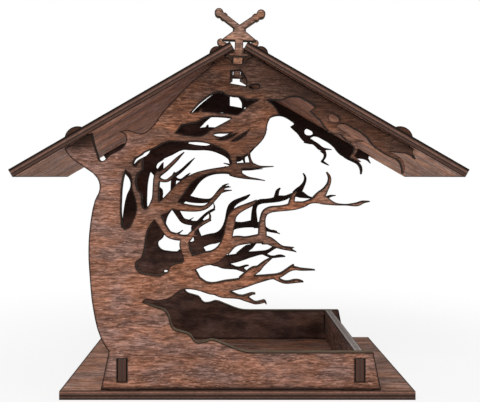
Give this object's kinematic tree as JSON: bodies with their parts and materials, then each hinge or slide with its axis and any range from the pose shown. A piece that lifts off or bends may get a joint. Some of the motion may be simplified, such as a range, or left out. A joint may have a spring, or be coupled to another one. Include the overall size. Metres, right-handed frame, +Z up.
{
  "type": "bird feeder",
  "caption": "Open-sided plywood bird feeder: base with seed tray, fretwork tree-and-bird end panels, pitched roof boards and crossed ridge clips.",
  "frame": {"origin": "middle of the feeder's footprint, on the underside of the base board", "axes": "+X to the right and +Y to the back as seen from the front, where the ridge clip is flush with the roof; +Z up"},
  "size_m": [0.2764, 0.154, 0.2351],
  "materials": {
    "stained_ply_base": "matte brown stain, burnt laser-cut edges",
    "stained_ply_panels": "matte reddish-brown stain, burnt laser-cut edges",
    "stained_ply_walls": "matte brown stain, burnt laser-cut edges",
    "stained_ply_roof": "matte brown stain, burnt laser-cut edges",
    "light_ply_clips": "matte light tan stain, burnt laser-cut edges"
  },
  "bodies": {
    "root": {"base_plate": "stained_ply_base", "front_panel": "stained_ply_panels", "back_panel": "stained_ply_panels", "side_wall_left": "stained_ply_walls", "side_wall_right": "stained_ply_walls", "roof_left": "stained_ply_roof", "roof_right": "stained_ply_roof", "ridge_clip_front": "light_ply_clips", "ridge_clip_back": "light_ply_clips"}
  },
  "joints": []
}
